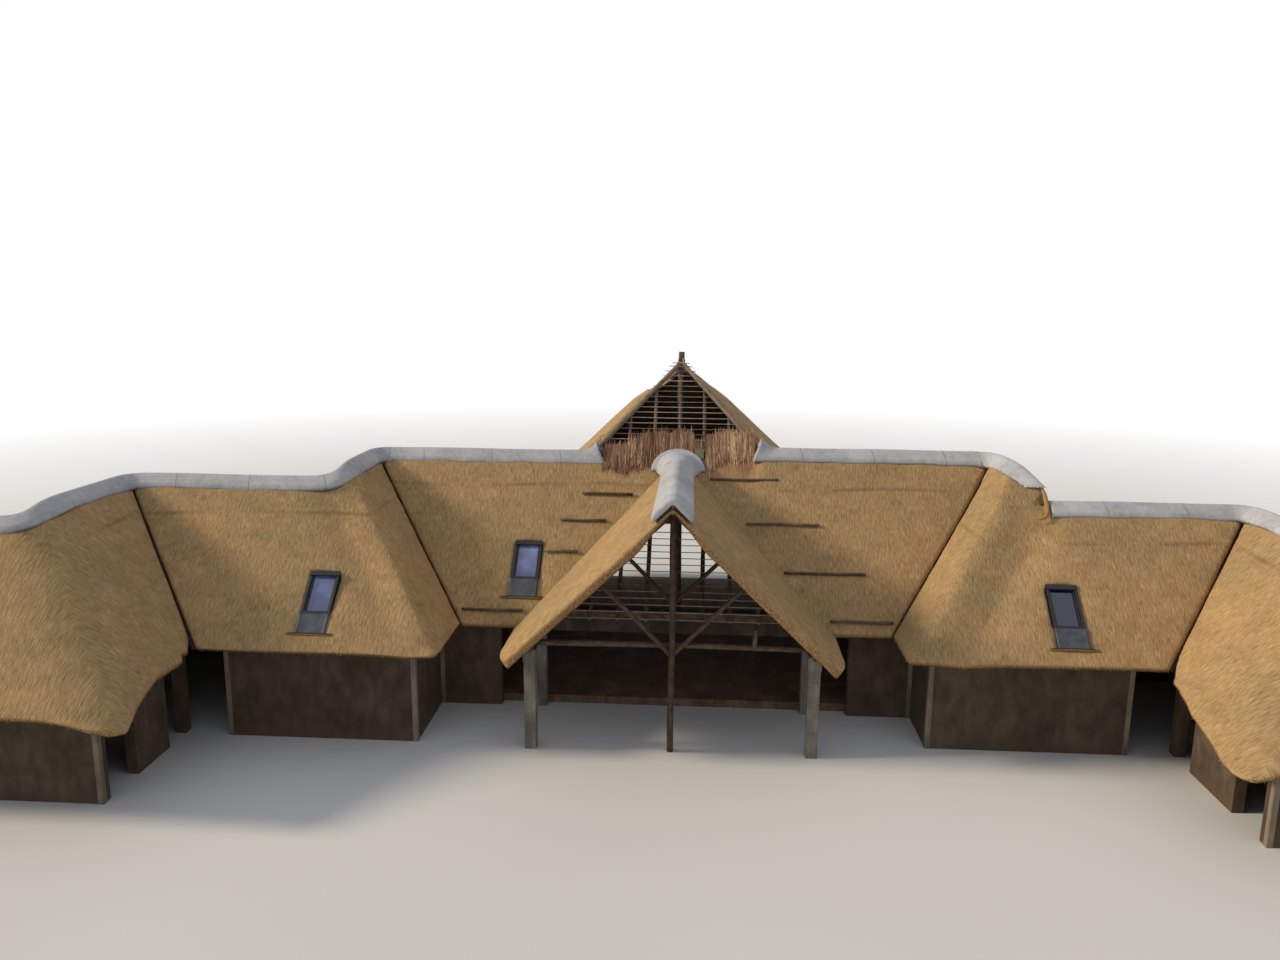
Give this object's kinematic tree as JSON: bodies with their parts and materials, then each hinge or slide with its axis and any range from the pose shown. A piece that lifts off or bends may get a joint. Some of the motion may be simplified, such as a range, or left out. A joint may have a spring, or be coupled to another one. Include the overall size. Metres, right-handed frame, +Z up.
{
  "type": "thatched lodge under construction",
  "caption": "Long single-storey thatched lodge, half built, with stepped hipped roofs either side of a hall with an unfinished pyramid roof and a gabled thatch porch.",
  "frame": {"origin": "centre of the footprint of the roofs, at ground level", "axes": "+X along the ridge, -Y towards the porch and entrance, +Z up"},
  "size_m": [37.8, 18.0006, 8.53],
  "materials": {
    "thatch": "dry combed grass thatch, matte",
    "new_thatch": "coarse new thatch, not yet trimmed",
    "ridge_cap": "pale mortar ridge capping, matte",
    "gutter": "dark sheet metal valley lining",
    "new_timber": "raw rafters and laths",
    "pole_timber": "round gum poles with bark off",
    "concrete": "unpainted cast concrete",
    "plaster": "dark brown wall, not finished",
    "window_frame": "dark coated frame",
    "lead": "grey metal apron",
    "window_glass": "clear glass that mirrors the sky"
  },
  "bodies": {
    "root": {"thatch_hall_front": "new_thatch", "thatch_hall_sides_and_rear": "thatch", "thatch_centre_front_left": "thatch", "thatch_centre_front_right": "thatch", "thatch_centre_rear": "thatch", "thatch_left_wing": "thatch", "thatch_right_wing": "thatch", "thatch_left_end": "thatch", "thatch_right_end": "thatch", "thatch_porch": "thatch", "ridge_cap_centre_left": "ridge_cap", "ridge_cap_centre_right": "ridge_cap", "ridge_cap_left": "ridge_cap", "ridge_cap_right_cross": "ridge_cap", "ridge_cap_right_wing": "ridge_cap", "ridge_cap_porch": "ridge_cap", "valley_gutters": "gutter", "hall_front_frame": "new_timber", "hall_hip_poles": "pole_timber", "hall_centre_post": "pole_timber", "hall_front_beam": "concrete", "hall_wall_plate": "new_timber", "hall_columns": "concrete", "hall_floor": "concrete", "hall_walls": "plaster", "hall_ring_beam": "concrete", "porch_columns": "concrete", "porch_centre_pole": "pole_timber", "porch_king_post": "pole_timber", "porch_tie_beam": "pole_timber", "porch_side_beams": "pole_timber", "porch_rafters": "pole_timber", "roof_window_frames": "window_frame", "roof_window_aprons": "lead", "roof_window_glass": "window_glass", "thatching_poles": "pole_timber", "centre_front_walls": "plaster", "left_wing_front_wall": "plaster", "left_rear_wall": "plaster", "left_end_walls": "plaster", "left_ring_beam": "concrete", "right_wing_front_wall": "plaster", "right_rear_wall": "plaster", "right_end_walls": "plaster", "right_ring_beam": "concrete"}
  },
  "joints": []
}
